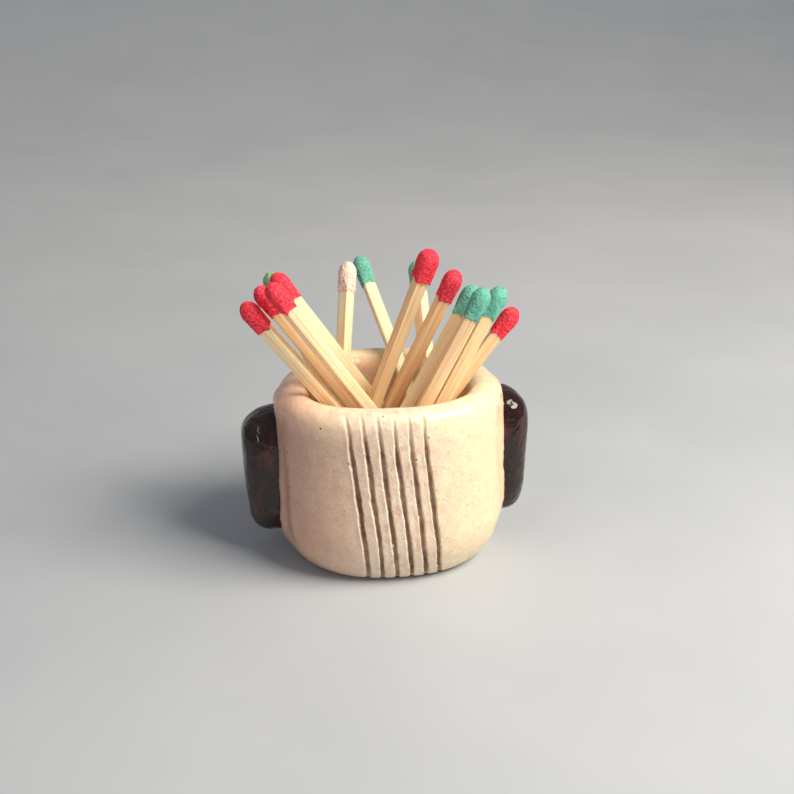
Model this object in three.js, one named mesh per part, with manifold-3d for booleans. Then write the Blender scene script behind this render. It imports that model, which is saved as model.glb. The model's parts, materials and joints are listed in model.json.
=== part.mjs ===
// A small match holder: a thick-walled stoneware cup with striking grooves cut into its front,
// a dark lug on each side wall, and fourteen matches that stand loose in it.
// Millimetres, +Z up. The origin is the centre of the base, and the grooves face -Y.
import * as THREE from 'three';
import { mergeVertices } from 'three/addons/utils/BufferGeometryUtils.js';
import Module from 'manifold-3d';

const wasm = await Module();
wasm.setup();

// Cup
const CUP_WIDTH = 38;
const CUP_DEPTH = 36.5;
const CUP_HEIGHT = 30;
const PLAN_POWER = 2.3; // 2 is an ellipse, more is squarer
const BASE_WIDTH = 25.2; // flat that the cup stands on
const HEEL_HEIGHT = 9.5; // rounding between the base and the wall
const MOUTH_INSET = 0.5; // the wall draws in by this much up to the lip
const WALL_SWELL = 1.5; // 1 is a straight wall, more keeps it full for longer
const LIP_THICKNESS = 5.5;
const WALL_AT_FLOOR = 6.6;
const FLOOR_THICKNESS = 6.5;
const FLOOR_FILLET = 1.6;
const LIP_DIP = 1.4; // the lip sags this much at the left, as pressed by hand
const CUP_SIDES = 64;
const HEEL_STEPS = 7;
const WALL_STEPS = 5;
const LIP_STEPS = 9;
const CAVITY_STEPS = 3;
const FILLET_STEPS = 3;

// Striking grooves
const GROOVE_COUNT = 6;
const GROOVE_PITCH = 2.35;
const GROOVE_WIDTH = 0.8;
const GROOVE_DEPTH = 0.8;
const GROOVE_SLANT = 5.9; // degrees, tops to the left
const GROOVE_CENTRE_X = -0.75; // middle of the set, at mid height
const GROOVE_DROP = 0.4; // top of the grooves below the top of the lip
const GROOVE_FOOT = 0.7;
const GROOVE_FADE = 1.6; // length over which a groove runs out at each end
const GROOVE_STATIONS = 15;

// Lugs
const LUG_DEPTH = 11; // along Y
const LEFT_LUG_PROUD = 5.1; // beyond the widest outline of the cup
const RIGHT_LUG_PROUD = 4.3;
const LUG_ROUND = 3.4; // rounding of the outer edges
const LUG_POWER = 3.2;
const LUG_FIT = 0.3; // joint line between a lug and the cup
const LUG_SIDES = 32;
const LUG_ROUND_STEPS = 5;
// Height and middle are in hundredths of the cup's height; the tilt is in degrees.
const LUGS = [
  { name: 'left_lug', side: -1, height: 70, proud: LEFT_LUG_PROUD, middle: 50, tilt: 3.5 },
  { name: 'right_lug', side: 1, height: 72, proud: RIGHT_LUG_PROUD, middle: 55, tilt: 1.5 },
];

// Matches
const MATCH_LENGTH = 43.5;
const SPLINT_SIDE = 2;
const HEAD_LENGTH = 5.2;
const HEAD_WIDTH = 3.2;
const FAT_HEAD_WIDTH = 3.7;
const HEAD_TIP = 1.4; // head beyond the end of its splint
const HEAD_SHOULDER = 2.2; // from the collar to the widest place
const HEAD_POWER = 2.4; // 2 is an elliptic tip, more is blunter
const COLLAR_TAPER = 0.12; // narrower by this much at the collar
const COLLAR_POWER = 3.4; // rounded square at the collar, round at the tip
const HEAD_FIT = 0.06; // around the splint in its head
const HEAD_SIDES = 12;
const HEAD_STATIONS = 8;
const FOOT_GAP = 0.3; // under a foot that stands on the floor

const CLAY = 0xdcc4a8;
const DARK_GLAZE = 0x2b1714;
const WOOD = 0xf0d3a0;
const RED = 0xd4213a;
const GREEN = 0x2f9c7a;
const PALE_GREEN = 0x8cbf8a;
const PINK = 0xe9b8b0;

// Where each match stands. The foot is a place on the cavity's floor and the lip a place across
// its mouth, both in hundredths of the cavity's half width and half depth. The lift is the height
// of the foot above the floor, where a match stands on others. The roll turns it on its own axis.
const MATCHES = [
  { foot: [26, -11], lift: 3.3, lip: [-73, -36], roll: 60, head: RED },
  { foot: [28, 50], lift: 4.7, lip: [-56, 8], roll: 65, head: RED },
  { foot: [-10, 85], lift: 0.8, lip: [-76, 52], roll: 38, head: PALE_GREEN },
  { foot: [43, -6], lift: 6.4, lip: [-34, -36], roll: 8, head: RED },
  { foot: [56, 41], lift: 5.1, lip: [-29, 19], roll: 21, head: RED },
  { foot: [-79, -49], lift: 0.4, lip: [-55, 45], roll: 58, head: PINK },
  { foot: [84, -16], lift: 2.3, lip: [30, 78], roll: 68, head: GREEN },
  { foot: [67, -57], lift: 0.7, lip: [60, 49], roll: 39, head: GREEN },
  { foot: [-64, 5], lift: 3.5, lip: [-14, -5], roll: 29, head: RED, width: FAT_HEAD_WIDTH },
  { foot: [-50, 27], lift: 2.3, lip: [10, -9], roll: 35, head: RED },
  { foot: [-69, -64], lift: 0.9, lip: [22, -46], roll: 53, head: GREEN },
  { foot: [-47, -78], lift: 0.9, lip: [32, -76], roll: 86, head: GREEN },
  { foot: [-25, -73], lift: 0.5, lip: [57, -63], roll: 78, head: GREEN },
  { foot: [-54, -45], lift: 0, lip: [67, -44], roll: 80, head: RED },
];

const LIP_RADIUS = LIP_THICKNESS / 2;
const LIP_CENTRE = CUP_HEIGHT - LIP_RADIUS;
const BASE_INSET = (CUP_WIDTH - BASE_WIDTH) / 2;
const CAVITY_INSET_AT_LIP = MOUTH_INSET + LIP_THICKNESS;
const GROOVE_TOP = CUP_HEIGHT - GROOVE_DROP;

// Meshes and solids

// A closed skin over rings of points, with a flat cap on the first and the last ring.
function skin(rings) {
  const sides = rings[0].length;
  const points = rings.flat();
  const middleOf = (ring) => ring.reduce((sum, p) => sum.add(p), new THREE.Vector3()).divideScalar(sides);
  const first = points.push(middleOf(rings[0])) - 1;
  const last = points.push(middleOf(rings.at(-1))) - 1;
  const index = [];
  for (let i = 0; i < sides; i += 1) {
    const next = (i + 1) % sides;
    for (let r = 0; r + 1 < rings.length; r += 1) {
      const [a, b] = [r * sides + i, r * sides + next];
      index.push(a, b, b + sides, a, b + sides, a + sides);
    }
    const top = (rings.length - 1) * sides;
    index.push(first, next, i, last, top + i, top + next);
  }
  const geometry = new THREE.BufferGeometry().setFromPoints(points);
  geometry.setIndex(index);
  return geometry;
}

function toSolid(geometry) {
  const bare = geometry.clone();
  bare.deleteAttribute('normal');
  bare.deleteAttribute('uv');
  const merged = mergeVertices(bare);
  const vertProperties = new Float32Array(merged.attributes.position.array);
  const triVerts = new Uint32Array(merged.index.array);
  return new wasm.Manifold(new wasm.Mesh({ numProp: 3, vertProperties, triVerts }));
}

function toGeometry(solid) {
  const mesh = solid.getMesh();
  const geometry = new THREE.BufferGeometry();
  geometry.setAttribute('position', new THREE.BufferAttribute(new Float32Array(mesh.vertProperties), 3));
  geometry.setIndex(new THREE.BufferAttribute(new Uint32Array(mesh.triVerts), 1));
  return geometry;
}

function makeMesh(name, geometry, color, roughness) {
  geometry.computeVertexNormals();
  const mesh = new THREE.Mesh(geometry, new THREE.MeshStandardMaterial({ color, roughness, metalness: 0 }));
  mesh.name = name;
  return mesh;
}

// Point at an angle on a rounded outline; a power of 2 is an ellipse.
function outlinePoint(angle, halfWidth, halfDepth, power) {
  const bend = (value) => Math.sign(value) * Math.abs(value) ** (2 / power);
  return [halfWidth * bend(Math.cos(angle)), halfDepth * bend(Math.sin(angle))];
}

// Cup

// How far the lip sags at a place in plan: nothing on the right, most at the far left.
function sag(x, z) {
  const left = Math.max(0, -x / (CUP_WIDTH / 2)) ** 2;
  const up = Math.max(0, (z - HEEL_HEIGHT) / (CUP_HEIGHT - HEEL_HEIGHT)) ** 2;
  return LIP_DIP * left * up;
}

function cupRing({ inset, z }) {
  const ring = [];
  for (let i = 0; i < CUP_SIDES; i += 1) {
    const angle = (2 * Math.PI * i) / CUP_SIDES;
    const [x, y] = outlinePoint(angle, CUP_WIDTH / 2 - inset, CUP_DEPTH / 2 - inset, PLAN_POWER);
    ring.push(new THREE.Vector3(x, y, z - sag(x, z)));
  }
  return ring;
}

// Outer profile as insets from the widest outline, from the base up to the top of the lip.
function outerInset(z) {
  if (z < HEEL_HEIGHT) {
    return BASE_INSET * (1 - Math.sqrt(1 - ((HEEL_HEIGHT - z) / HEEL_HEIGHT) ** 2));
  }
  if (z > LIP_CENTRE) {
    return MOUTH_INSET + LIP_RADIUS * (1 - Math.sqrt(1 - ((z - LIP_CENTRE) / LIP_RADIUS) ** 2));
  }
  return MOUTH_INSET * ((z - HEEL_HEIGHT) / (LIP_CENTRE - HEEL_HEIGHT)) ** WALL_SWELL;
}

function outerProfile() {
  const profile = [];
  for (let i = 0; i < HEEL_STEPS; i += 1) {
    const z = HEEL_HEIGHT * (1 - Math.cos((Math.PI / 2) * (i / HEEL_STEPS)));
    profile.push({ inset: outerInset(z), z });
  }
  for (let i = 0; i <= WALL_STEPS; i += 1) {
    const z = THREE.MathUtils.lerp(HEEL_HEIGHT, LIP_CENTRE, i / WALL_STEPS);
    profile.push({ inset: outerInset(z), z });
  }
  return profile;
}

function lipProfile() {
  const profile = [];
  for (let i = 1; i < LIP_STEPS; i += 1) {
    const angle = (Math.PI * i) / LIP_STEPS;
    const inset = MOUTH_INSET + LIP_RADIUS * (1 - Math.cos(angle));
    profile.push({ inset, z: LIP_CENTRE + LIP_RADIUS * Math.sin(angle) });
  }
  return profile;
}

function cavityInset(z) {
  const share = (LIP_CENTRE - z) / (LIP_CENTRE - FLOOR_THICKNESS);
  return THREE.MathUtils.lerp(CAVITY_INSET_AT_LIP, WALL_AT_FLOOR, share);
}

function cavityProfile() {
  const profile = [];
  const wallFoot = FLOOR_THICKNESS + FLOOR_FILLET;
  for (let i = 0; i <= CAVITY_STEPS; i += 1) {
    const z = THREE.MathUtils.lerp(LIP_CENTRE, wallFoot, i / CAVITY_STEPS);
    profile.push({ inset: cavityInset(z), z });
  }
  for (let i = 1; i <= FILLET_STEPS; i += 1) {
    const angle = ((Math.PI / 2) * i) / FILLET_STEPS;
    const inset = cavityInset(wallFoot) + FLOOR_FILLET * (1 - Math.cos(angle));
    profile.push({ inset, z: wallFoot - FLOOR_FILLET * Math.sin(angle) });
  }
  return profile;
}

// The cup's outside with no cavity, grown by a gap.
function cupBlank(gap) {
  const profile = [...outerProfile(), ...lipProfile()];
  const grown = profile.map(({ inset, z }) => ({ inset: inset - gap, z }));
  return toSolid(skin(grown.map(cupRing)));
}

// A groove's cutter: a wedge that follows the front wall and lip, tip inwards, and runs out at both ends.
function grooveCutter(number) {
  const slant = Math.tan(THREE.MathUtils.degToRad(GROOVE_SLANT));
  const start = GROOVE_CENTRE_X + GROOVE_PITCH * (number - (GROOVE_COUNT - 1) / 2);
  const outside = GROOVE_DEPTH;
  const halfWidth = (GROOVE_WIDTH / 2) * ((GROOVE_DEPTH + outside) / GROOVE_DEPTH);
  const rings = [];
  for (let i = 0; i < GROOVE_STATIONS; i += 1) {
    const share = (1 - Math.cos((Math.PI * i) / (GROOVE_STATIONS - 1))) / 2;
    const z = THREE.MathUtils.lerp(GROOVE_FOOT, GROOVE_TOP, share);
    const x = start - slant * (z - CUP_HEIGHT / 2);
    const wall = frontWall(x, z);
    const fade = Math.min(1, Math.min(z - GROOVE_FOOT, GROOVE_TOP - z) / GROOVE_FADE);
    const tip = wall.point.clone().addScaledVector(wall.normal, -GROOVE_DEPTH * fade);
    const out = wall.point.clone().addScaledVector(wall.normal, outside);
    const across = new THREE.Vector3(halfWidth, 0, 0);
    rings.push([tip, out.clone().sub(across), out.clone().add(across)]);
  }
  return toSolid(skin(rings));
}

// Place on the front wall at a height, with the wall's outward direction in the plane of Y and Z.
function frontWall(x, z) {
  const depthAt = (height) => {
    const inset = outerInset(height);
    const across = Math.abs(x) / (CUP_WIDTH / 2 - inset);
    return -(CUP_DEPTH / 2 - inset) * (1 - across ** PLAN_POWER) ** (1 / PLAN_POWER);
  };
  const step = 0.05;
  const slope = (depthAt(z + step) - depthAt(z - step)) / (2 * step);
  const point = new THREE.Vector3(x, depthAt(z), z - sag(x, z));
  return { point, normal: new THREE.Vector3(0, -1, slope).normalize() };
}

function makeCup() {
  const rings = [...outerProfile(), ...lipProfile(), ...cavityProfile()].map(cupRing);
  let cup = toSolid(skin(rings));
  for (let number = 0; number < GROOVE_COUNT; number += 1) {
    cup = cup.subtract(grooveCutter(number));
  }
  return makeMesh('cup', toGeometry(cup), CLAY, 0.35);
}

// Lugs

// A rounded pad that stands off the side wall; its inner side is cut to the cup.
function makeLug({ name, side, height, proud, middle, tilt }) {
  const face = CUP_WIDTH / 2 + proud;
  const halfHeight = (CUP_HEIGHT / 2) * (height / 100);
  const root = CUP_WIDTH / 4;
  const slices = [{ x: root, trim: 0 }];
  for (let i = 0; i <= LUG_ROUND_STEPS; i += 1) {
    const angle = ((Math.PI / 2) * i) / (LUG_ROUND_STEPS + 0.5);
    const trim = LUG_ROUND * (1 - Math.cos(angle));
    slices.push({ x: face - LUG_ROUND + LUG_ROUND * Math.sin(angle), trim });
  }
  const rings = slices.map(({ x, trim }) => {
    const ring = [];
    for (let i = 0; i < LUG_SIDES; i += 1) {
      const angle = (2 * Math.PI * i) / LUG_SIDES;
      const [y, z] = outlinePoint(angle, LUG_DEPTH / 2 - trim, halfHeight - trim, LUG_POWER);
      ring.push(new THREE.Vector3(x, y, z));
    }
    return ring;
  });
  const pad = skin(rings);
  pad.translate(-CUP_WIDTH / 2, 0, 0);
  pad.rotateY(THREE.MathUtils.degToRad(tilt));
  pad.translate(CUP_WIDTH / 2, 0, CUP_HEIGHT * (middle / 100));
  if (side < 0) {
    pad.rotateZ(Math.PI);
  }
  return makeMesh(name, toGeometry(toSolid(pad).subtract(cupBlank(LUG_FIT))), DARK_GLAZE, 0.25);
}

// Matches

function makeSplint(name) {
  const length = MATCH_LENGTH - HEAD_TIP - HEAD_FIT;
  const splint = new THREE.BoxGeometry(SPLINT_SIDE, SPLINT_SIDE, length);
  splint.translate(0, 0, length / 2);
  return makeMesh(name, splint, WOOD, 0.7);
}

// A head from its collar, a rounded square, to its round tip, with a socket for the splint.
function makeHead(name, width, color) {
  const rings = [];
  for (let station = 0; station < HEAD_STATIONS; station += 1) {
    const z = HEAD_LENGTH * Math.sin(((Math.PI / 2) * station) / (HEAD_STATIONS - 0.3));
    const past = Math.max(0, z - HEAD_SHOULDER) / (HEAD_LENGTH - HEAD_SHOULDER);
    const before = Math.max(0, HEAD_SHOULDER - z) / HEAD_SHOULDER;
    const dome = (1 - past ** HEAD_POWER) ** (1 / HEAD_POWER);
    const half = (width / 2) * dome - COLLAR_TAPER * before ** 2;
    const power = THREE.MathUtils.lerp(COLLAR_POWER, 2, z / HEAD_LENGTH);
    const ring = [];
    for (let i = 0; i < HEAD_SIDES; i += 1) {
      const angle = (2 * Math.PI * (i + 0.5)) / HEAD_SIDES;
      const [x, y] = outlinePoint(angle, half, half, power);
      ring.push(new THREE.Vector3(x, y, MATCH_LENGTH - HEAD_LENGTH + z));
    }
    rings.push(ring);
  }
  const socketSide = SPLINT_SIDE + 2 * HEAD_FIT;
  const socketLength = HEAD_LENGTH - HEAD_TIP + HEAD_LENGTH;
  const socket = new THREE.BoxGeometry(socketSide, socketSide, socketLength);
  socket.translate(0, 0, MATCH_LENGTH - HEAD_TIP - socketLength / 2);
  return makeMesh(name, toGeometry(toSolid(skin(rings)).subtract(toSolid(socket))), color, 0.85);
}

// Axis of a match from its foot on the floor to its place at the lip, turned by its roll.
function stand({ foot, lift, lip, roll }) {
  const place = ([across, back], inset, z) => new THREE.Vector3(
    (CUP_WIDTH / 2 - inset) * (across / 100),
    (CUP_DEPTH / 2 - inset) * (back / 100),
    z,
  );
  const low = place(foot, WALL_AT_FLOOR, FLOOR_THICKNESS + lift);
  const high = place(lip, CAVITY_INSET_AT_LIP, LIP_CENTRE);
  high.z -= sag(high.x, high.z);
  const axis = high.clone().sub(low).normalize();
  const level = new THREE.Vector3(-axis.y, axis.x, 0).normalize();
  const matrix = new THREE.Matrix4().makeBasis(level, axis.clone().cross(level), axis);
  matrix.multiply(new THREE.Matrix4().makeRotationZ(THREE.MathUtils.degToRad(roll)));
  const [, , sideDrop, , , , backDrop] = matrix.elements;
  const cornerDrop = (SPLINT_SIDE / 2) * (Math.abs(sideDrop) + Math.abs(backDrop));
  const start = low.addScaledVector(axis, (FOOT_GAP + cornerDrop) / axis.z);
  return matrix.setPosition(start);
}

function makeMatch(match, number) {
  const name = `match_${String(number + 1).padStart(2, '0')}`;
  const group = new THREE.Group();
  group.add(makeSplint(`${name}_splint`));
  group.add(makeHead(`${name}_head`, match.width ?? HEAD_WIDTH, match.head));
  group.applyMatrix4(stand(match));
  return group;
}

const holder = new THREE.Group();
holder.add(makeCup());
holder.add(...LUGS.map(makeLug));
holder.add(...MATCHES.map(makeMatch));
holder.updateMatrixWorld(true);

export default holder;
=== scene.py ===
# %% [markdown]
# # A stoneware match holder
# The object is a small hand-built cup of glazed stoneware that keeps matches on a table. Grooves scored
# into its front are the striking surface, and a dark lug sits on each side wall. Wooden matches with
# coloured heads lean in it. The solids are loaded first and stay fixed. Each piece made below takes the
# place of one of them, in the same frame, and moves with the same body.

# %% Load the solids
import json
import math

import bpy
import numpy as np
from mathutils import Matrix, Vector


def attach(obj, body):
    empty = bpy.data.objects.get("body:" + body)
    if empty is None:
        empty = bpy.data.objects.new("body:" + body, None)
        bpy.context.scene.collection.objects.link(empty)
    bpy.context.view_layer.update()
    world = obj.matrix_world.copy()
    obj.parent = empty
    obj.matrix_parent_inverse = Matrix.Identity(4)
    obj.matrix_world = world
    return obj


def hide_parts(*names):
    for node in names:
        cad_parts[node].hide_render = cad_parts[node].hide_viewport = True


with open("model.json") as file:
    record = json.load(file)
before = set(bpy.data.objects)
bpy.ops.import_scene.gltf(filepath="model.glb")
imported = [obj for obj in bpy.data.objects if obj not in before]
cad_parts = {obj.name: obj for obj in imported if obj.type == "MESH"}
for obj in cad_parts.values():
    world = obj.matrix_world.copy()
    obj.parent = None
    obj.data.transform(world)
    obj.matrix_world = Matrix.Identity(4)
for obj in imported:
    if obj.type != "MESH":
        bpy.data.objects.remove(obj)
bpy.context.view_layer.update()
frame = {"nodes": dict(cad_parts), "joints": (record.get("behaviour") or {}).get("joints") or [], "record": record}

MM = 0.001

# %% [markdown]
# ## Camera
# The ellipses of the mouth and the base give the view: a little from the left of the front and about
# twenty degrees above the table, with a moderate lens, close to the object.

# %% Camera
scene = bpy.context.scene
scene.view_settings.view_transform = "Standard"
VIEW_TURN = math.radians(-8.0)
VIEW_RISE = math.radians(20.3)
VIEW_AIM = Vector((1.55, 0.0, 26.3)) * MM
VIEW_DISTANCE = 200 * MM
VIEW_LENS = 54.6


def direction(turn, rise):
    """Unit vector from the object towards a place, turned from the front to the right and raised."""
    return Vector((math.sin(turn) * math.cos(rise), -math.cos(turn) * math.cos(rise), math.sin(rise)))


camera = bpy.data.objects.new("camera", bpy.data.cameras.new("camera"))
scene.collection.objects.link(camera)
scene.camera = camera
camera.data.lens = VIEW_LENS
camera.data.clip_start = 10 * MM
camera.location = VIEW_AIM + direction(VIEW_TURN, VIEW_RISE) * VIEW_DISTANCE
camera.rotation_euler = (-direction(VIEW_TURN, VIEW_RISE)).to_track_quat("-Z", "Y").to_euler()
print("camera at", [round(v / MM, 1) for v in camera.location], "mm")

# %% [markdown]
# ## Wires
# A finish is a sum of small effects, and sums read best as arithmetic. The class below wraps a socket, so
# that `1 - mask` or `depth * fade` adds the Math nodes by itself. It works in shader trees and in geometry
# trees alike. Any other node comes from its one method `add`.

# %% Wires


class Wire:
    """An output socket that takes part in Python arithmetic."""

    def __init__(self, socket):
        self.socket = socket
        self.tree = socket.id_data

    @classmethod
    def add(cls, tree, kind, settings=None, sockets=None, out=0):
        """Adds a node: its settings first, then the values or wires of its sockets."""
        node = tree.nodes.new(kind)
        for name, value in (settings or {}).items():
            if name == "points":
                curve = node.mapping.curves[0]
                while len(curve.points) < len(value):
                    curve.points.new(0.5, 0.5)
                for point, place in zip(curve.points, value):
                    point.location = place
                node.mapping.update()
            else:
                setattr(node, name, value)
        for key, value in (sockets or {}).items():
            if isinstance(value, cls):
                tree.links.new(value.socket, node.inputs[key])
            else:
                node.inputs[key].default_value = value
        return cls(node.outputs[out])

    def calc(self, operation, *terms):
        return Wire.add(self.tree, "ShaderNodeMath", {"operation": operation}, dict(enumerate(terms)))

    def through(self, operation):
        """A Math node that takes this wire alone, such as SINE."""
        return self.calc(operation, self)

    def __add__(self, other):
        return self.calc("ADD", self, other)

    def __sub__(self, other):
        return self.calc("SUBTRACT", self, other)

    def __rsub__(self, other):
        return self.calc("SUBTRACT", other, self)

    def __mul__(self, other):
        return self.calc("MULTIPLY", self, other)

    def __truediv__(self, other):
        return self.calc("DIVIDE", self, other)

    def __rtruediv__(self, other):
        return self.calc("DIVIDE", other, self)

    def __pow__(self, other):
        return self.calc("POWER", self, other)

    def __neg__(self):
        return self.calc("MULTIPLY", self, -1.0)

    def __abs__(self):
        return self.through("ABSOLUTE")

    __radd__ = __add__
    __rmul__ = __mul__

    def least(self, other):
        return self.calc("MINIMUM", self, other)

    def most(self, other):
        return self.calc("MAXIMUM", self, other)

    def within(self, low=0.0, high=1.0):
        return self.most(low).least(high)

    def smooth(self, start, end):
        """A soft step from 0 at start to 1 at end."""
        settings = {"interpolation_type": "SMOOTHSTEP"}
        return Wire.add(self.tree, "ShaderNodeMapRange", settings, {0: self, 1: start, 2: end})

    def hill(self, width):
        """A bell that is 1 where this wire is 0 and has faded at about twice the width."""
        return (-((self / width) ** 2.0)).through("EXPONENT")

    def scaled(self, factor):
        return Wire.add(self.tree, "ShaderNodeVectorMath", {"operation": "SCALE"}, {0: self, 3: factor})

    def stretched(self, factors):
        return Wire.add(self.tree, "ShaderNodeVectorMath", {"operation": "MULTIPLY"}, {0: self, 1: factors})

    def moved(self, step):
        return Wire.add(self.tree, "ShaderNodeVectorMath", {"operation": "ADD"}, {0: self, 1: step})

    def parts(self):
        first = Wire.add(self.tree, "ShaderNodeSeparateXYZ", {}, {0: self})
        return [Wire(socket) for socket in first.socket.node.outputs]

    def mixed(self, first, second):
        """The first colour where this wire is 0, the second where it is 1."""
        sockets = {0: self, 6: first, 7: second}
        return Wire.add(self.tree, "ShaderNodeMix", {"data_type": "RGBA"}, sockets, out=2)

    def noise(self, scale, detail=2.0):
        sockets = {"Vector": self, "Scale": scale, "Detail": detail}
        return Wire.add(self.tree, "ShaderNodeTexNoise", {}, sockets)

    def cells(self, scale):
        """Distance to the nearest cell's middle, and a random number for each cell."""
        near = Wire.add(self.tree, "ShaderNodeTexVoronoi", {}, {"Vector": self, "Scale": scale})
        return near, Wire(near.socket.node.outputs["Color"]).parts()[0]


def joined(x, y, z):
    """A vector wire from three numbers or wires."""
    tree = next(term.tree for term in (x, y, z) if isinstance(term, Wire))
    return Wire.add(tree, "ShaderNodeCombineXYZ", {}, {0: x, 1: y, 2: z})


print("wires ready")

# %% [markdown]
# ## Finishes and trees
# A finish starts as an empty material, and a shape that follows a rule starts as an empty geometry tree
# with named inputs. The helper `made_by` runs a tree on an object and keeps its result as a plain mesh.

# %% Helpers for finishes


def colour(code):
    """Linear colour from six hexadecimal digits."""
    shares = [int(code[i:i + 2], 16) / 255 for i in (0, 2, 4)]
    linear = [c / 12.92 if c <= 0.04045 else ((c + 0.055) / 1.055) ** 2.4 for c in shares]
    return (*linear, 1.0)


def new_finish(name, **values):
    """A material with some of its shader's own sockets set; spaces in their names are underscores here."""
    material = bpy.data.materials.new(name)
    material.use_nodes = True
    shader = material.node_tree.nodes["Principled BSDF"]
    for key, value in values.items():
        shader.inputs[key.replace("_", " ")].default_value = value
    return material, material.node_tree, shader


def feed(shader, **wires):
    for key, wire in wires.items():
        wire.tree.links.new(wire.socket, shader.inputs[key.replace("_", " ")])


def millimetres(tree):
    return Wire.add(tree, "ShaderNodeTexCoord", out=3).scaled(1 / MM)


def marked(tree, name):
    """A mark that a geometry tree left on the surface."""
    return Wire.add(tree, "ShaderNodeAttribute", {"attribute_name": name}, out=2)


def bump(height, depth):
    """Relief from a height of 0 to 1, with its depth in millimetres."""
    sockets = {"Strength": 1.0, "Distance": depth * MM, "Height": height}
    return Wire.add(height.tree, "ShaderNodeBump", {}, sockets)


print("finish helpers ready")

# %% Helpers for trees


def new_tree(name, **inputs):
    """A geometry tree, its named inputs as wires, and its incoming mesh."""
    tree = bpy.data.node_groups.new(name, "GeometryNodeTree")
    tree.interface.new_socket("Geometry", in_out="INPUT", socket_type="NodeSocketGeometry")
    tree.interface.new_socket("Geometry", in_out="OUTPUT", socket_type="NodeSocketGeometry")
    for key, value in inputs.items():
        socket = tree.interface.new_socket(key, in_out="INPUT", socket_type="NodeSocketFloat")
        socket.default_value = value
    first = Wire.add(tree, "NodeGroupInput")
    return tree, {key: Wire(first.socket.node.outputs[key]) for key in inputs}, first


def points_in_millimetres(tree):
    return Wire.add(tree, "GeometryNodeInputPosition").scaled(1 / MM)


def mark_on(tree, name):
    """A mark that the incoming mesh already carries."""
    return Wire.add(tree, "GeometryNodeInputNamedAttribute", {"data_type": "FLOAT"}, {"Name": name})


def pushed(mesh, distance):
    """Moves the points of a mesh along their normals by a distance in millimetres."""
    normal = Wire.add(mesh.tree, "GeometryNodeInputNormal")
    sockets = {"Geometry": mesh, "Offset": normal.scaled(distance * MM)}
    return Wire.add(mesh.tree, "GeometryNodeSetPosition", {}, sockets)


def noted(mesh, name, value, kind="FLOAT"):
    """Leaves a named mark on each point of a mesh."""
    settings = {"data_type": kind, "domain": "POINT"}
    sockets = {"Geometry": mesh, "Name": name, "Value": value}
    return Wire.add(mesh.tree, "GeometryNodeStoreNamedAttribute", settings, sockets)


def closed_tree(mesh, material):
    """Ends a tree: everything real, in one finish."""
    real = Wire.add(mesh.tree, "GeometryNodeRealizeInstances", {}, {"Geometry": mesh})
    sockets = {"Geometry": real, "Material": material}
    last = Wire.add(mesh.tree, "GeometryNodeSetMaterial", {}, sockets)
    end = mesh.tree.nodes.new("NodeGroupOutput")
    mesh.tree.links.new(last.socket, end.inputs["Geometry"])


def smooth_faces(mesh):
    mesh.polygons.foreach_set("use_smooth", [True] * len(mesh.polygons))


def new_object(name, mesh):
    piece = bpy.data.objects.new(name, mesh)
    scene.collection.objects.link(piece)
    return piece


def made_by(piece, tree, place=None, **values):
    """Runs a tree on a piece and keeps the result as its plain mesh, put in its place."""
    modifier = piece.modifiers.new(tree.name, "NODES")
    modifier.node_group = tree
    for item in tree.interface.items_tree:
        if item.in_out == "INPUT" and item.name in values:
            modifier[item.identifier] = float(values[item.name])
    graph = bpy.context.evaluated_depsgraph_get()
    mesh = bpy.data.meshes.new_from_object(piece.evaluated_get(graph), depsgraph=graph)
    piece.modifiers.remove(modifier)
    if place is not None:
        mesh.transform(place)
    smooth_faces(mesh)
    piece.data = mesh
    return piece


print("tree helpers ready")

# %% [markdown]
# ## Table and light
# The table is a pale sheet of paper that sweeps up behind, well away from the object; its colour is
# painted lighter further back, as painted light. One broad lamp stands to the front right, high up, so the
# right half of the cup is bright, its left half is in soft shade, and the shadow falls to the left. A tall
# narrow one far to the left draws thin glints on dark glaze. The room fills the rest.

# %% Table
SHEET_HALF = 8.0  # metres, as are the three sizes of the sweep
SWEEP_START, SWEEP_RADIUS, SWEEP_TOP = 0.3, 1.0, 2.5
SWEEP_STEPS = 25
QUARTER_TURN = math.pi / 2
profile = [(-SHEET_HALF, 0.0)]
for angle in np.linspace(0, QUARTER_TURN, SWEEP_STEPS):
    profile.append((SWEEP_START + SWEEP_RADIUS * math.sin(angle), SWEEP_RADIUS * (1 - math.cos(angle))))
profile.append((SWEEP_START + SWEEP_RADIUS, SWEEP_TOP))
corners = [(side * SHEET_HALF, y, z) for y, z in profile for side in (-1, 1)]
table_mesh = bpy.data.meshes.new("table")
table_mesh.from_pydata(corners, [], [(i, i + 1, i + 3, i + 2) for i in range(0, len(corners) - 2, 2)])
smooth_faces(table_mesh)
table = new_object("table", table_mesh)

# The paper is painted lighter from near to far, as painted light on the far sheet, under a faint random mottle.
PAPER_NEAR, PAPER_PAINTED_FAR_LIGHT = colour("aeb5be"), colour("eef1f4")
PAPER_TURNS_FROM, PAPER_TURNS_BY = 20.0, 360.0
pale, tree, shader = new_finish("pale_table", Roughness=0.6)
where = millimetres(tree)
painted_far_light = where.parts()[1].smooth(PAPER_TURNS_FROM, PAPER_TURNS_BY)
mottle_and_painted_far_light = where.noise(0.02, 3.0) * 0.3 + painted_far_light * 0.7
feed(shader, Base_Color=mottle_and_painted_far_light.mixed(PAPER_NEAR, PAPER_PAINTED_FAR_LIGHT))
table_mesh.materials.append(pale)
print("table", len(table_mesh.polygons), "faces")

# %% Light
ROOM_TINT = colour("f2f4f8")
ROOM_STRENGTH = 0.27
world = bpy.data.worlds.new("room")
scene.world = world
world.use_nodes = True
room = world.node_tree.nodes["Background"]
room.inputs["Color"].default_value = ROOM_TINT
room.inputs["Strength"].default_value = ROOM_STRENGTH


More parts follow.
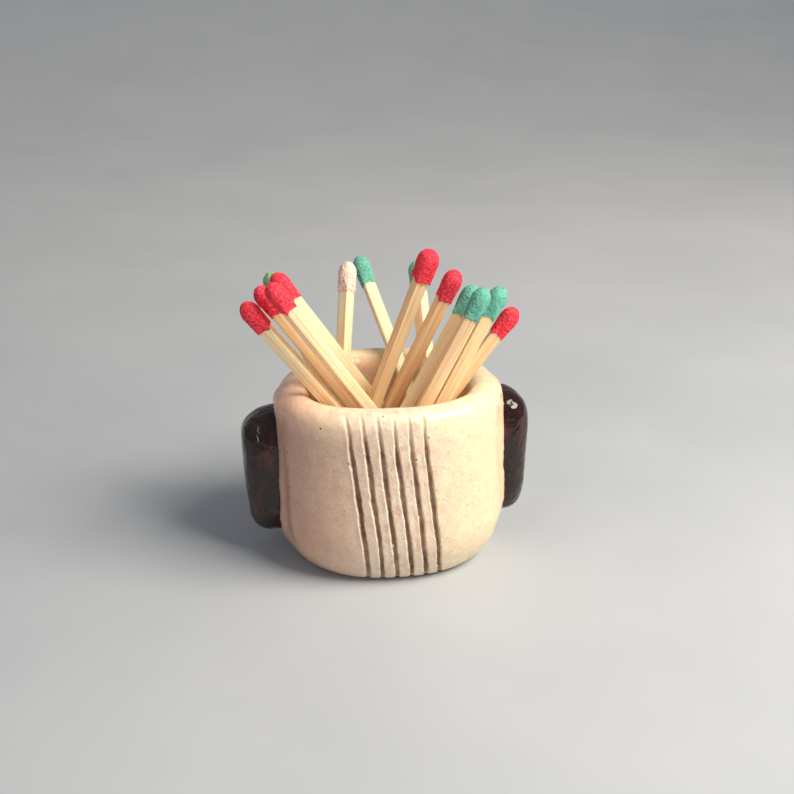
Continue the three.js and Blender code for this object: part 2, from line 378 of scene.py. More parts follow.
def lamp(name, turn, rise, distance, width, height, power, tint):
    """A flat lamp that faces the object: angles in degrees, sizes in millimetres, power in watts."""
    data = bpy.data.lights.new(name, "AREA")
    data.shape = "RECTANGLE"
    data.size, data.size_y = width * MM, height * MM
    data.energy = power
    data.color = colour(tint)[:3]
    light = bpy.data.objects.new(name, data)
    scene.collection.objects.link(light)
    towards = direction(math.radians(turn), math.radians(rise))
    light.location = VIEW_AIM + towards * distance * MM
    light.rotation_euler = (-towards).to_track_quat("-Z", "Y").to_euler()


lamp("window", turn=56, rise=45, distance=400, width=275, height=190, power=2.6, tint="fff4e4")
lamp("far_window", turn=-36, rise=28, distance=600, width=24, height=420, power=0.25, tint="f4f6ff")

# %% [markdown]
# ## Cup
# The cup was pinched and paddled by hand: a rounded square in plan, a soft heel, a thick rolled lip that
# sags on the left. A grid of points follows the same rule as the solid, ring by ring, from the middle of
# the base up the wall, over the lip and down to the floor. The points crowd together at the front, and
# lean with the grooves, so that the cuts come out crisp.

# %% Sizes of the cup
CUP_WIDTH = 38.0
CUP_DEPTH = 36.5
CUP_HEIGHT = 30.0
PLAN_POWER = 2.3
BASE_INSET = 6.4
HEEL_HEIGHT = 9.5
HEEL_START = math.radians(14.0)
MOUTH_INSET = 0.5
WALL_SWELL = 1.5
LIP_RADIUS = 2.75
LIP_CENTRE = CUP_HEIGHT - LIP_RADIUS
LIP_DIP = 1.4
CAVITY_INSET_AT_LIP = MOUTH_INSET + 2 * LIP_RADIUS
WALL_AT_FLOOR = 6.6
FLOOR_THICKNESS = 6.5
FLOOR_FILLET = 1.6
GROOVE_SLANT = math.tan(math.radians(6.9))
GROOVE_LEFT, GROOVE_RIGHT = -8.2, 6.8
FRONT_HALF = 12.5
FINE_STEP, COARSE_STEP = 0.1, 0.4
BACK_COLUMNS = 160
OUTLINE_STEPS = 4000
HEEL_ROWS, WALL_ROWS, LIP_ROWS, CAVITY_ROWS, FILLET_ROWS = 54, 72, 36, 34, 8
CAP_SHARES = np.linspace(0.1, 0.95, 10)
print("cup", CUP_WIDTH, "x", CUP_DEPTH, "x", CUP_HEIGHT, "mm")

# %% Rings of the cup


def cup_rows():
    """Rows of (inset, height, share of the ring, how far outside, how far it leans with the grooves)."""
    foot = BASE_INSET * (1 - math.sin(HEEL_START))
    rows = [(foot, 0.0, share, 0.0, share ** 2) for share in CAP_SHARES]
    for angle in np.linspace(HEEL_START, QUARTER_TURN, HEEL_ROWS)[:-1]:
        height = HEEL_HEIGHT * (1 - math.cos(angle) / math.cos(HEEL_START))
        rows.append((BASE_INSET * (1 - math.sin(angle)), height, 1.0, 1.0, 1.0))
    for share in np.linspace(0, 1, WALL_ROWS):
        height = HEEL_HEIGHT + (LIP_CENTRE - HEEL_HEIGHT) * share
        rows.append((MOUTH_INSET * share ** WALL_SWELL, height, 1.0, 1.0, 1.0))
    for angle in np.linspace(0, math.pi, LIP_ROWS)[1:]:
        outside = (1 + math.cos(angle)) / 2
        inset = MOUTH_INSET + LIP_RADIUS * (1 - math.cos(angle))
        rows.append((inset, LIP_CENTRE + LIP_RADIUS * math.sin(angle), 1.0, outside, outside))
    span = LIP_CENTRE - FLOOR_THICKNESS
    foot = 1 - FLOOR_FILLET / span
    fall = WALL_AT_FLOOR - CAVITY_INSET_AT_LIP
    for share in np.linspace(0, foot, CAVITY_ROWS)[1:]:
        rows.append((CAVITY_INSET_AT_LIP + fall * share, LIP_CENTRE - span * share, 1.0, 0.0, 0.0))
    for angle in np.linspace(0, QUARTER_TURN, FILLET_ROWS)[1:]:
        inset = CAVITY_INSET_AT_LIP + fall * foot + FLOOR_FILLET * (1 - math.cos(angle))
        rows.append((inset, FLOOR_THICKNESS + FLOOR_FILLET * (1 - math.sin(angle)), 1.0, 0.0, 0.0))
    rows += [(rows[-1][0], FLOOR_THICKNESS, share, 0.0, 0.0) for share in CAP_SHARES[::-1]]
    return rows


def plan_columns():
    """Places across the front in millimetres, and angles of the columns round the sides and back."""
    front = np.concatenate([
        np.arange(-FRONT_HALF, GROOVE_LEFT, COARSE_STEP),
        np.arange(GROOVE_LEFT, GROOVE_RIGHT, FINE_STEP),
        np.arange(GROOVE_RIGHT, FRONT_HALF + COARSE_STEP, COARSE_STEP),
    ])
    first = -math.acos((front[-1] / (CUP_WIDTH / 2)) ** (PLAN_POWER / 2))
    last = math.pi + math.acos((-front[0] / (CUP_WIDTH / 2)) ** (PLAN_POWER / 2))
    angles = np.linspace(first, last, OUTLINE_STEPS)
    x, y = outline(angles, CUP_WIDTH / 2, CUP_DEPTH / 2)
    walked = np.concatenate([[0], np.cumsum(np.hypot(np.diff(x), np.diff(y)))])
    even = np.linspace(0, walked[-1], BACK_COLUMNS + 2)[1:-1]
    return front, np.interp(even, walked, angles)


def outline(angles, half_width, half_depth, power=PLAN_POWER):
    """A rounded square: 2 is an ellipse, and a higher power is squarer."""
    across, along = np.cos(angles), np.sin(angles)
    bent = [np.sign(share) * np.abs(share) ** (2 / power) for share in (across, along)]
    return half_width * bent[0], half_depth * bent[1]


def eased(share):
    share = np.clip(share, 0, 1)
    return share ** 2 * (3 - 2 * share)


def cup_ring(row, front, angles):
    inset, height, share, _, leaning = row
    half_width, half_depth = CUP_WIDTH / 2 - inset, CUP_DEPTH / 2 - inset
    left_taper = eased((front + FRONT_HALF) / (GROOVE_LEFT + FRONT_HALF))
    taper = left_taper * eased((FRONT_HALF - front) / (FRONT_HALF - GROOVE_RIGHT))
    x = front * half_width / (CUP_WIDTH / 2) - GROOVE_SLANT * (height - CUP_HEIGHT / 2) * taper * leaning
    y = -half_depth * (1 - np.abs(x / half_width) ** PLAN_POWER) ** (1 / PLAN_POWER)
    back_x, back_y = outline(angles, half_width, half_depth)
    x, y = np.concatenate([x, back_x]) * share, np.concatenate([y, back_y]) * share
    left = np.maximum(0, -x / (CUP_WIDTH / 2)) ** 2
    up = max(0.0, (height - HEEL_HEIGHT) / (CUP_HEIGHT - HEEL_HEIGHT)) ** 2
    return np.stack([x, y, height - LIP_DIP * left * up], axis=1)


def ring_mesh(name, rings, first_tip, last_tip):
    """A closed mesh over rings of points that run anticlockwise seen from above, with a tip at each end."""
    count = len(rings[0])
    points = np.concatenate([*rings, [first_tip], [last_tip]]) * MM
    start, end = len(points) - 2, len(points) - 1
    faces = []
    for r in range(len(rings) - 1):
        a, b = r * count, (r + 1) * count
        faces += [(a + i, a + (i + 1) % count, b + (i + 1) % count, b + i) for i in range(count)]
    top = (len(rings) - 1) * count
    faces += [(start, (i + 1) % count, i) for i in range(count)]
    faces += [(end, top + i, top + (i + 1) % count) for i in range(count)]
    mesh = bpy.data.meshes.new(name)
    mesh.from_pydata(points.tolist(), [], faces)
    smooth_faces(mesh)
    return mesh


rows = cup_rows()
front, angles = plan_columns()
cup_rings = [cup_ring(row, front, angles) for row in rows]
cup_mesh = ring_mesh("cup_form", cup_rings, (0, 0, 0), (0, 0, FLOOR_THICKNESS))
outside = cup_mesh.attributes.new("outside", "FLOAT", "POINT")
shares = np.concatenate([np.full(len(cup_rings[0]), row[3]) for row in rows] + [[0.0, 0.0]])
outside.data.foreach_set("value", shares.astype(np.float32))
print("cup grid", len(rows), "rings of", len(cup_rings[0]), "points")

# %% [markdown]
# ## Finish of the cup
# The glaze is a cream that breaks to pinkish beige where it is thin, on the left and between the grooves.
# Inside the cup it is mixed towards a darker warm brown. The lip is painted brighter, most on its front left,
# as painted light. Iron in the clay burns through as dark specks of several sizes. Voronoi cells give the
# specks: a dot in the middle of some cells. The grooves kept little glaze, so they are brown and dull inside,
# and the burr beside each groove is painted paler, a painted highlight.

# %% Cream glaze
GLAZE_CREAM = colour("eedcb8")
GLAZE_PINK = colour("d8ab93")
GROOVE_BROWN = colour("745642")
RIDGE_PALE_AND_BURR_HIGHLIGHT = colour("f8e6d0")
RIDGE_WARM = colour("dca484")
SEAM_PINK = colour("dfa98a")
BAND_BROWN = colour("a06e5e")
SMUDGE = colour("b98a72")
INNER_WARM = colour("b4734c")
SCORED_MIDDLE, SCORED_HALF = -0.7, 8.0
LIP_FROM, LIP_FULL = 24.0, 28.5
IRON = colour("3d2a20")

glaze, tree, shader = new_finish("cream_glaze", IOR=1.5)
where = millimetres(tree)
x, y, z = where.parts()
groove, burr = marked(tree, "groove"), marked(tree, "burr")
band, seam = marked(tree, "band"), marked(tree, "seam")
clouds = where.noise(0.085, 3.0)
scored = (x - SCORED_MIDDLE).hill(SCORED_HALF) * (-y).smooth(8.0, 14.0)
lip = z.smooth(LIP_FROM, LIP_FULL)
pinkness = (clouds * 1.5 - 0.42 + x * -0.045 + scored * 0.12 + band * 0.5 - lip * 0.2).within()
body = pinkness.mixed(GLAZE_CREAM, GLAZE_PINK)
fleck = where.noise(2.6, 4.0) * (scored * 0.4 + 0.5) - scored * 0.2
# Painted light: the lip is painted brighter all round, and most on its front left.
painted_lip_light = lip * (x.smooth(2.0, -12.0) * 0.42 + 0.1)
body = body.scaled(where.noise(0.8, 3.0) * 0.24 + fleck + painted_lip_light + 0.63)
body = (band * 0.5).mixed(body, BAND_BROWN)
body = (seam * 0.6).mixed(body, SEAM_PINK)
# Inside the cup the colour is mixed towards a darker warm brown.
inner = (1 - marked(tree, "outside")).smooth(0.75, 1.0)
body = (inner * 0.45).mixed(body, INNER_WARM)
smudge = where.noise(0.55, 4.0).smooth(0.5, 0.72) * (scored * 0.16 + 0.12)
body = smudge.mixed(body, SMUDGE)
blotch = where.stretched((1.0, 1.0, 0.6)).noise(0.8, 4.0)
# The ridges between the grooves are paler; along each burr the paler colour is a painted highlight on its lit
# edge.
body = (burr * 0.6 + scored * 0.7).within().mixed(body, RIDGE_PALE_AND_BURR_HIGHLIGHT)
body = (blotch.smooth(0.45, 0.72) * scored * 0.5).mixed(body, RIDGE_WARM)
bare = groove.smooth(0.25, 0.75) * (where.noise(0.35, 3.0) * 1.2 + 0.15).within()
body = bare.mixed(body, GROOVE_BROWN)
print("glaze has", len(tree.nodes), "nodes so far")

# %% Iron specks and gloss


def specks(spot, scale, size, share):
    """Dots in a share of the cells: the scale is in cells for each millimetre."""
    near, chance = spot.cells(scale)
    return ((size * scale - near) * (10 / scale)).within() * ((chance - (1 - share)) * 30).within()


SHIFTS = [(0.0, 0.0, 0.0), (9.0, 0.0, 0.0), (0.0, 9.0, 0.0)]
torn = joined(*(where.moved(shift).noise(2.5) for shift in SHIFTS))
spot = where.moved(torn.scaled(0.35))
coarse = specks(spot, 0.2, 0.38, 0.5) + specks(spot, 0.42, 0.23, 0.4)
fine = specks(spot, 0.9, 0.15, 0.4) * 0.6 + specks(spot, 1.9, 0.11, 0.4) * 0.45
iron = coarse * (1 - x.smooth(1.0, 7.0) * 0.75) + fine
body = (iron.within() * 0.85).mixed(body, IRON)
grit = scored * 0.8 + 0.2
relief = where.noise(0.5, 2.0) * (lip * 0.6 + 0.7) + where.noise(2.6, 3.0) * grit * (1 - lip * 0.7)
gloss = where.noise(0.25, 2.0) * 0.2 + 0.24 - lip * 0.24 + groove * 0.4 + scored * 0.3
feed(shader, Base_Color=body, Roughness=gloss.within(0.07, 0.8), Normal=bump(relief, 0.13))
print("finish", glaze.name, "nodes", len(tree.nodes))

# %% [markdown]
# ## Striking grooves
# A blunt point was drawn down the soft clay six times, from just under the lip to the foot. Each cut
# starts shallow, wanders a little, has its own depth, and throws up a burr on its left. All that is one
# rule along the wall, so a geometry tree makes it: it finds the nearest groove line for every point of the
# wall and pushes the point in or out along its normal. The same tree gives the wall its hand-made
# unevenness and the welt of clay that was pressed up around each lug. It leaves marks that the glaze reads.

# %% Grooves along the wall
GROOVE_SIZES = {"Count": 6, "Pitch": 2.35, "Width": 0.95, "Depth": 0.7, "Centre": -1.0, "Top": 30.2,
                "Foot": -0.3, "Fade": 1.5, "Wander": 0.45, "Burr": 0.14}
WALL_SIZES = {"Uneven": 0.55, "Welt": 0.6, "Shy": 0.3}
GROWS_OVER = 9.0
tree, size, mesh = new_tree("scored_wall", **GROOVE_SIZES, **WALL_SIZES)
where = points_in_millimetres(tree)
x, y, z = where.parts()
on_wall = mark_on(tree, "outside")
at_front = (-y).smooth(7.0, 11.0) * on_wall
middle = (size["Count"] - 1) / 2
line = x + (z - CUP_HEIGHT / 2) * GROOVE_SLANT - size["Centre"]
number = (line / size["Pitch"] + middle).through("ROUND").within(0.0, size["Count"] - 1)
wander = (joined(number * 7.3, z * 0.16, 0.0).noise(1.0, 2.0) - 0.5) * size["Wander"]
across = line - (number - middle) * size["Pitch"] + wander
own_depth = joined(number * 3.7, z * 0.3, 4.0).noise(1.0, 2.0) * 0.7 + 0.65
own_top = size["Top"] + (joined(number * 5.1, 0.0, 9.0).noise(1.0, 0.0) - 0.5) * 2.0
grown = (own_top - z).smooth(0.0, GROWS_OVER)
ends = ((z - size["Foot"]) / size["Fade"]).within() * ((own_top - z) / size["Fade"]).within() * at_front
own_width = size["Width"] * (joined(number * 2.3, z * 0.22, 7.0).noise(1.0, 2.0) * 0.8 + grown * 0.3 + 0.1)
own_width = own_width + size["Width"] * (where.noise(1.1, 3.0) - 0.4) * 0.7
cut = (1 - abs(across) / (own_width / 2)).most(0.0) ** 0.35 * ends
ragged = joined(x * 1.5, y, z * 1.2).noise(1.0, 3.0) * 2.0 - 0.3
lean = across + own_width * 0.55
crest = lean.most(0.0).hill(0.12) * lean.least(0.0).hill(0.4)
burr = crest * ends * ragged.within() * grown * z.smooth(0.3, 2.5)
print("groove rule has", len(tree.nodes), "nodes so far")

# %% Unevenness and welts
LUG_MIDDLES = {"left": 15.0, "right": 16.5}
LUG_POWER = 3.2
WELT_HALF_DEPTH, WELT_HALF_HEIGHT = 5.6, 10.2
WELT_RING = 1.12
standing = z.smooth(0.4, 4.0) * on_wall
hand = (where.noise(0.06, 1.0) - 0.5) + (where.noise(0.3, 2.0) - 0.5) * 0.5
lug_middle = x.smooth(-1.0, 1.0) * (LUG_MIDDLES["right"] - LUG_MIDDLES["left"]) + LUG_MIDDLES["left"]
spans = (abs(y) / WELT_HALF_DEPTH, abs(z - lug_middle) / WELT_HALF_HEIGHT)
edge = (spans[0] ** LUG_POWER + spans[1] ** LUG_POWER) ** (1 / LUG_POWER) - WELT_RING
by_lug = abs(x).smooth(10.0, 14.0) * standing
welt = edge.hill(0.14) * by_lug * (where.noise(0.3, 2.0) + 0.2)
beside = edge + z * 0.02 - 0.68 + where.noise(0.2, 2.0) * 0.3
left_front = x.smooth(4.0, -4.0) * y.smooth(2.0, -4.0)
band = beside.hill(0.16) * by_lug * left_front * z.smooth(3.0, 8.0) * z.smooth(28.0, 23.0)
seam = edge.hill(0.13) * by_lug * x.smooth(2.0, 8.0)
raised = hand * size["Uneven"] * standing + (welt - band * 0.3) * size["Welt"] + burr * size["Burr"]
scored_in = cut * (grown * 0.7 + 0.3)
held_back = (-y).smooth(12.0, 17.5) * standing * size["Shy"]
push = raised - scored_in * own_depth * size["Depth"] - held_back
for mark, value in {"groove": scored_in, "burr": burr, "band": band, "seam": seam}.items():
    mesh = noted(mesh, mark, value)
closed_tree(pushed(mesh, push), glaze)
cup = made_by(new_object("stoneware_cup", cup_mesh), tree)
print("cup", len(cup.data.vertices), "points")

# %% [markdown]
# ## Crumbs in the grooves
# The point tore small crumbs out of the clay, and some stayed in the cuts. They are scattered by a tree:
# points on the faces that carry the groove mark, with a small uneven stone on each.

# %% Crumbs
CRUMB_DARK, CRUMB_PALE = colour("b08a72"), colour("dcc2a8")
crumb_clay, tree, shader = new_finish("crumb_clay", Roughness=0.5)
feed(shader, Base_Color=millimetres(tree).noise(3.0, 2.0).mixed(CRUMB_DARK, CRUMB_PALE))

DEEP_ENOUGH = 0.3
WHOLE_TURN = 6.28
STONE_POINTS = 42
tree, size, mesh = new_tree("groove_crumbs", Density=120000.0, Least=0.06, Most=0.26, Seed=11)
sockets = {0: mark_on(tree, "groove"), 1: DEEP_ENOUGH}
in_groove = Wire.add(tree, "FunctionNodeCompare", {"operation": "GREATER_THAN"}, sockets)
sockets = {"Mesh": mesh, "Selection": in_groove, "Density": size["Density"], "Seed": size["Seed"]}
points = Wire.add(tree, "GeometryNodeDistributePointsOnFaces", {}, sockets)
stone = Wire.add(tree, "GeometryNodeMeshIcoSphere", {}, {"Radius": MM, "Subdivisions": 2})
stone = pushed(stone, (points_in_millimetres(tree).noise(1.3, 1.0) - 0.5) * 0.9)
sockets = {2: size["Least"], 3: size["Most"]}
width = Wire.add(tree, "FunctionNodeRandomValue", {"data_type": "FLOAT"}, sockets, out=1)
sockets = {0: (0, 0, 0), 1: (WHOLE_TURN, WHOLE_TURN, WHOLE_TURN)}
turn = Wire.add(tree, "FunctionNodeRandomValue", {"data_type": "FLOAT_VECTOR"}, sockets)
sockets = {"Points": points, "Instance": stone, "Rotation": turn, "Scale": width}
closed_tree(Wire.add(tree, "GeometryNodeInstanceOnPoints", {}, sockets), crumb_clay)
crumbs = made_by(new_object("groove_crumbs", cup.data.copy()), tree)
print("crumbs", len(crumbs.data.vertices) // STONE_POINTS)

# %% [markdown]
# ## Lugs
# Each lug is a pad of clay pressed onto the wall and dipped in a dark iron glaze. The form is a stack of
# rounded outlines from inside the wall out to the face, which ends in a low dome. A short tree makes the
# surface lumpy, because the broken glints on the glaze come from real unevenness.

# %% Dark glaze
DARK_BROWN = colour("22130f")
RED_BROWN = colour("58281f")
SCRATCH_BROWN = colour("8a6a5c")
dark_glaze, tree, shader = new_finish("dark_glaze", IOR=1.5, Specular_IOR_Level=0.5)
where = millimetres(tree)
runs = where.stretched((0.5, 0.5, 0.14)).noise(1.0, 3.0)
tone = runs.smooth(0.48, 0.78).mixed(DARK_BROWN, RED_BROWN)
scratch = where.stretched((1.6, 1.6, 0.7)).moved((3.0, 1.0, 7.0)).noise(1.0, 5.0)
tone = ((abs(scratch - 0.5) * -60 + 1.0).within() * 0.12).mixed(tone, SCRATCH_BROWN)
crease = 1 - abs(where.noise(0.55, 0.0) - 0.5) * 8
ripple = where.noise(0.62, 1.0) * 0.8 + crease.within() * 0.2
shine = (where.noise(0.5, 2.0) * 0.3 - 0.05).within(0.06, 0.4)
feed(shader, Base_Color=tone, Roughness=shine, Normal=bump(ripple, 0.26))
print("finish", dark_glaze.name, "nodes", len(tree.nodes))

# %% Lugs
LUG_DEPTH = 11.0
LUG_ROUND = 3.4
LUG_SINK = 2.3
LUG_SLOPE = 0.2
LUG_DOME = 0.12
LUG_COLUMNS, LUG_SIDE_RINGS, LUG_ROUND_RINGS, LUG_FACE_RINGS = 96, 14, 16, 12
LUGS = {
    "left": {"side": -1, "proud": 5.0, "height": 21.0, "tilt": 3.5},
    "right": {"side": 1, "proud": 4.2, "height": 21.6, "tilt": 1.5},
}


def lug_form(name, middle, side, proud, height, tilt):
    """A pad sunk into one side wall, with a low dome for its face and its tilt in degrees."""
    face = CUP_WIDTH / 2 + proud
    slices = [(x, 0.0) for x in np.linspace(CUP_WIDTH / 2 - LUG_SINK, face - LUG_ROUND, LUG_SIDE_RINGS)]
    for angle in np.linspace(0, QUARTER_TURN, LUG_ROUND_RINGS)[1:]:
        slices.append((face - LUG_ROUND * (1 - math.sin(angle)), LUG_ROUND * (1 - math.cos(angle))))
    around = np.linspace(0, 2 * math.pi, LUG_COLUMNS, endpoint=False)
    rings = []
    for x, trim in slices:
        y, z = outline(around, LUG_DEPTH / 2 - trim, height / 2 - trim, LUG_POWER)
        z = z - LUG_SLOPE * max(0.0, x - CUP_WIDTH / 2) * np.clip(z / (height / 2), 0, 1) ** 2
        rings.append(np.stack([np.full_like(y, x), y, z], axis=1))
    rim = rings[-1]
    for share in np.linspace(0.92, 0.08, LUG_FACE_RINGS):
        bulge = LUG_DOME * (1 - share ** 2)
        rings.append(np.stack([rim[:, 0] + bulge, rim[:, 1] * share, rim[:, 2] * share], axis=1))
    turn = Matrix.Rotation(math.radians(tilt), 4, "Y")
    move = Matrix.Translation((CUP_WIDTH / 2, 0, middle)) @ turn @ Matrix.Translation((-CUP_WIDTH / 2, 0, 0))
    if side < 0:
        move = Matrix.Rotation(math.pi, 4, "Z") @ move
    placed = [np.array([move @ Vector(p) for p in ring]) for ring in rings]
    tips = [np.array(move @ Vector((ring[:, 0].mean(), 0, 0))) for ring in (rings[0], rings[-1])]
    return ring_mesh(name, placed, tips[0], tips[1])


tree, size, mesh = new_tree("lumpy_lug", Lump=0.5, Dimple=0.13)
where = points_in_millimetres(tree)
lump = (where.noise(0.16, 1.0) - 0.5) * size["Lump"] + (where.noise(0.75, 2.0) - 0.5) * size["Dimple"]
closed_tree(pushed(mesh, lump), dark_glaze)
lugs = {}
for side, sizes in LUGS.items():
    form = lug_form(side + "_lug_form", LUG_MIDDLES[side], **sizes)
    lugs[side] = made_by(new_object(side + "_clay_lug", form), tree)
print("lugs", [len(lug.data.vertices) for lug in lugs.values()], "points")

# %% [markdown]
# ## Where the matches stand
# Every match has its own place and roll. Both are read back from its solid: the axis is the axis of the
# joint that lifts it out, and the corners of the splint's lower end give the foot and the turn.

# %% Places of the matches
FOOT_SLACK = 0.1 * MM


def match_place(joint):
    """The match's own frame: the origin at the middle of its foot, +Z along it to the head."""
    axis = Vector(joint["axis"]).normalized()
    solid = frame["nodes"][joint["child"] + "_splint"]
    low = min(v.co.dot(axis) for v in solid.data.vertices)
    at_foot = [v.co for v in solid.data.vertices if v.co.dot(axis) < low + FOOT_SLACK]
    foot = [Vector(p) for p in sorted({tuple(round(c, 6) for c in place) for place in at_foot})]
    middle = sum(foot, Vector()) / len(foot)
    near = min(foot[1:], key=lambda p: (p - foot[0]).length)
    side = (near - foot[0]).normalized()
    turned = Matrix((side, axis.cross(side), axis)).transposed().to_4x4()
    return Matrix.Translation(middle) @ turned


places = {joint["child"]: match_place(joint) for joint in frame["joints"]}
print("matches", len(places))

# %% [markdown]
# ## Splints
# A splint is aspen, sawn square: flat faces with fine long fibres, edges that are barely broken, a slight
# bow. The tree makes one from a box of many small faces, rounds its edges, and presses the fibres in. It
# leaves the place inside the stick as a mark, so that the grain runs along it whatever way it leans.

# %% Wood
WOOD_PALE = colour("ffeec8")
WOOD_WARM = colour("ffd09c")
WOOD_VEIN = colour("9c5524")
wood, tree, shader = new_finish("aspen", Subsurface_Weight=0.75, Subsurface_Scale=1.2 * MM)
shader.inputs["Subsurface Radius"].default_value = (1.0, 0.42, 0.16)
inside = Wire.add(tree, "ShaderNodeAttribute", {"attribute_name": "grain"}, out=1)
fibres = inside.stretched((5.5, 5.5, 0.1)).noise(1.0, 3.0)
bands = inside.stretched((1.1, 1.1, 0.03)).noise(1.0, 2.0)
veins = inside.stretched((3.2, 3.2, 0.045)).moved((5.0, 2.0, 0.0)).noise(1.0, 2.0)
# Grain gives the warm and pale tone; each match adds its own painted light on top.
warmth = bands * 1.6 - 0.5 + (fibres - 0.5) * 0.8 + marked(tree, "warmth")
tone = warmth.within().mixed(WOOD_PALE, WOOD_WARM)
tone = (veins.smooth(0.5, 0.62) * 0.25).mixed(tone, WOOD_VEIN)
feed(shader, Base_Color=tone, Roughness=fibres * 0.2 + 0.5, Normal=bump(fibres, 0.05))
print("finish", wood.name, "nodes", len(tree.nodes))

# %% Splints
SPLINT_SIZES = {"Side": 2.0, "Length": 42.0, "Edge": 14.0, "Bow": 0.12, "Fibre": 0.05}
SPLINT_GRID = {"Vertices X": 9, "Vertices Y": 9, "Vertices Z": 120}
# Painted light for each match: warmer on splints that sit in shade, as painted warm bounce, and paler on lit ones.
MATCH_PAINTED_LIGHT = {"match_02": 0.25, "match_04": -0.1, "match_06": -0.3, "match_07": -0.3, "match_09": 0.25,
          "match_10": 0.55, "match_11": 0.4, "match_12": 0.35, "match_13": 0.2, "match_14": 0.4}
tree, size, _ = new_tree("splint", **SPLINT_SIZES, Seed=0.0, Warmth=0.0)
sockets = {"Size": joined(2.0, 2.0, size["Length"]), **SPLINT_GRID}
box = Wire.add(tree, "GeometryNodeMeshCube", {}, sockets)
x, y, z = Wire.add(tree, "GeometryNodeInputPosition").parts()
a, b = [(share * QUARTER_TURN).through("SINE") for share in (x, y)]
square = (abs(a) ** size["Edge"] + abs(b) ** size["Edge"]) ** (1 / size["Edge"])
ring = abs(x).most(abs(y))
fit = ring * size["Side"] / 2 / square.most(0.001)
height = z + size["Length"] / 2
sway = (height / size["Length"] * math.pi).through("SINE") * size["Bow"]
lean = (joined(size["Seed"], 0.0, 0.0).noise(1.7, 0.0) - 0.5) * 2
own = joined(a * fit, b * fit, height)
spot = own.moved(joined(size["Seed"] * 3.1, size["Seed"] * 1.7, size["Seed"] * 11.0))
rough = (spot.stretched((4.0, 4.0, 0.12)).noise(1.0, 2.0) - 0.5) * size["Fibre"] * 2
place = joined(a * (fit + rough) + sway * lean, b * (fit + rough), height).scaled(MM)
stick = noted(noted(box, "grain", spot, "FLOAT_VECTOR"), "warmth", size["Warmth"])
stick = Wire.add(tree, "GeometryNodeSetPosition", {}, {"Geometry": stick, "Position": place})
closed_tree(stick, wood)

splints = {}
for number, (match, place) in enumerate(places.items()):
    stub = new_object(match + "_stick", bpy.data.meshes.new(match + "_stick"))
    splints[match] = made_by(stub, tree, place, Seed=number + 1, Warmth=MATCH_PAINTED_LIGHT.get(match, 0.0))
print("splints", len(splints), "with", len(stub.data.vertices), "points each")

# %% [markdown]
# ## Heads
# A head is a dipped bead of compound that dried rough: blunt at the tip, square and ragged at the collar
# where it clings to the splint, with crumbs and small pits all over. The tree bends a sphere to that form
# by two curves, one for the width and one for the height, and then works lumps and pits into it.

# %% Finish of the heads
HEAD_COLOURS = {
    "head_red": "f63a4e",
    "head_green": "6cbca6",
    "head_pale_green": "8cbe88",
    "head_pink": "ffdacb",
}


def shifted(base, target, share):
    """A colour moved by a share of the way towards a grey."""
    return tuple(c + (target - c) * share for c in base[:3]) + (1.0,)


def head_finish(slot, code):
    material, tree, shader = new_finish(slot, Roughness=0.8, Specular_IOR_Level=0.3)
    where = millimetres(tree)
    pit = marked(tree, "pit")
    base = colour(code)
    painted_pit_shade, dull, dusty = shifted(base, 0.0, 0.58), shifted(base, 0.0, 0.4), shifted(base, 0.9, 0.08)
    crumbs = where.noise(2.6, 3.0)
    tone = crumbs.smooth(0.48, 0.66).mixed(base, dusty)
    tone = (1 - crumbs).smooth(0.54, 0.7).mixed(tone, dull)
    # Painted shade: the pits are painted darker than the rest of the head.
    tone = (pit * 0.9).within().mixed(tone, painted_pit_shade)
    rough = crumbs * 0.6 + where.noise(5.0, 3.0) * 0.4
    feed(shader, Base_Color=tone, Normal=bump(rough, 0.16))
    return material


head_finishes = {slot: head_finish(slot, code) for slot, code in HEAD_COLOURS.items()}
print("finishes", list(head_finishes))

# %% Heads
MATCH_LENGTH = 43.5
HEAD_WIDTH = 3.08
FAT_HEADS = {"match_09": 3.6}
HEAD_SIZES = {"Width": HEAD_WIDTH, "Length": 5.2, "Ragged": 0.65, "Lump": 0.14, "Grain": 0.15, "Pit": 0.13}
HEAD_GRID = {"Segments": 112, "Rings": 90, "Radius": 1.0}
# The way from the collar to the tip, with the share of the width and of the height there.
HEAD_PROFILE = [
    (0, 0, 0.1), (0.05, 0.6, 0.06), (0.1, 0.69, 0.0), (0.26, 0.82, 0.19), (0.42, 0.94, 0.385),
    (0.58, 1.0, 0.577), (0.68, 0.97, 0.692), (0.78, 0.85, 0.808), (0.87, 0.63, 0.904),
    (0.95, 0.34, 0.975), (1, 0, 1),
]


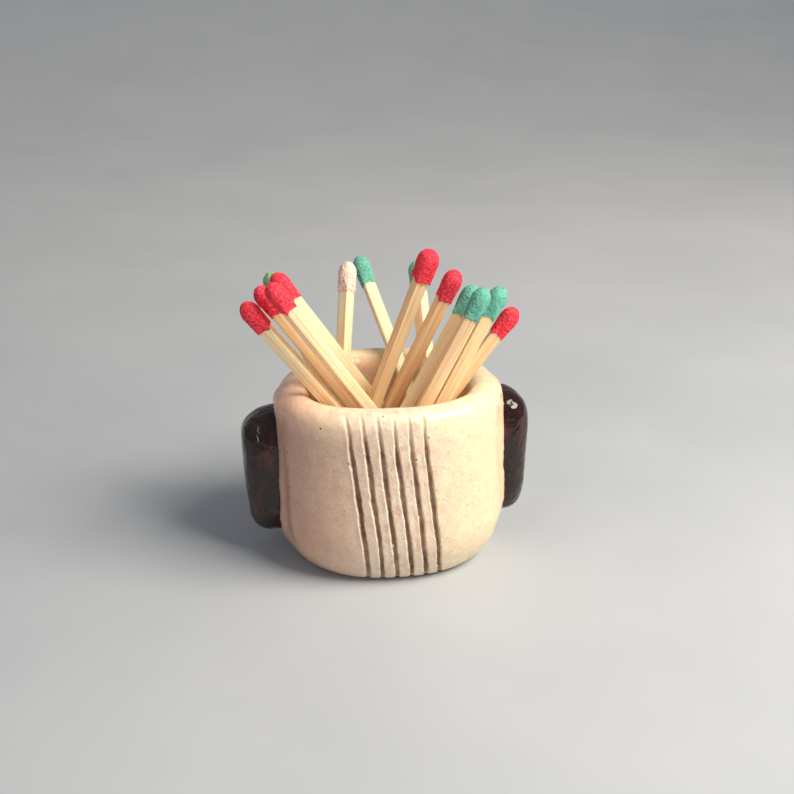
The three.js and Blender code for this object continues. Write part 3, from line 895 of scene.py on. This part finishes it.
def head_tree(material):
    tree, size, _ = new_tree("dipped_" + material.name, **HEAD_SIZES, Seed=0.0)
    ball = Wire.add(tree, "GeometryNodeMeshUVSphere", {}, HEAD_GRID)
    x, y, z = Wire.add(tree, "GeometryNodeInputPosition").parts()
    level = 1 - z.within(-1.0, 1.0).through("ARCCOSINE") / math.pi
    flat = ((x ** 2.0 + y ** 2.0) ** 0.5).most(0.0001)
    across, along = x / flat, y / flat
    curves = [[(row[0], row[column]) for row in HEAD_PROFILE] for column in (1, 2)]
    wide, tall = [Wire.add(tree, "ShaderNodeFloatCurve", {"points": c}, {"Value": level}) for c in curves]
    power = 2.1 + ((0.55 - level) / 0.45).within() ** 3.0 * 9
    square = 1 / (abs(across) ** power + abs(along) ** power) ** (1 / power)
    seed = size["Seed"] * 5.3
    fringe = joined(across * 0.9, along * 0.9, seed).noise(1.6, 2.0) - 0.5
    low = (1 - level).smooth(0.6, 0.9)
    collar = low * (fringe * 2 - (square - 1) * (fringe * 2 + 1.5)) * size["Ragged"]
    reach = wide * square * size["Width"] / 2
    height = MATCH_LENGTH - size["Length"] * (1 - tall) + collar
    form = joined(across * reach, along * reach, height)
    bead = Wire.add(tree, "GeometryNodeSetPosition", {}, {"Geometry": ball, "Position": form.scaled(MM)})
    spot = points_in_millimetres(tree).moved(joined(seed, seed * 0.7, seed * 1.9))
    near, chance = spot.cells(1.5)
    pit = (1 - near).smooth(0.72, 0.86) * (chance - 0.6).smooth(0.0, 0.1)
    near, chance = spot.cells(2.6)
    pit = pit.most((1 - near).smooth(0.7, 0.85) * (chance - 0.5).smooth(0.0, 0.1) * 0.8)
    lumps = (spot.noise(1.1, 1.0) - 0.5) * size["Lump"] + (spot.noise(3.4, 2.0) - 0.5) * size["Grain"]
    bead = noted(bead, "pit", pit)
    closed_tree(pushed(bead, lumps - pit * size["Pit"]), material)
    return tree


slots = {entry["node"]: entry["material_slot"] for entry in frame["record"]["subparts"]}
head_trees = {slot: head_tree(material) for slot, material in head_finishes.items()}
heads = {}
for number, (match, place) in enumerate(places.items()):
    stub = new_object(match + "_bead", bpy.data.meshes.new(match + "_bead"))
    tree = head_trees[slots[match + "_head"]]
    heads[match] = made_by(stub, tree, place, Seed=number + 1, Width=FAT_HEADS.get(match, HEAD_WIDTH))
print("heads", len(heads), "with", len(stub.data.vertices), "points each")

# %% [markdown]
# ## Joining the pieces to the solids
# Each piece rides on the body of the solid that it stands for, so a match lifts out with its head.

# %% Pieces ride on their bodies


def stands_for(piece, node, body):
    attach(piece, body)
    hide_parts(node)


stands_for(cup, "cup", "holder")
for side, lug in lugs.items():
    stands_for(lug, side + "_lug", "holder")
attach(crumbs, "holder")
for match in places:
    stands_for(splints[match], match + "_splint", match)
    stands_for(heads[match], match + "_head", match)
pieces = [cup, crumbs, *lugs.values(), *splints.values(), *heads.values()]
triangles = sum(len(face.vertices) - 2 for piece in pieces for face in piece.data.polygons)
print("pieces", len(pieces), "triangles", triangles)
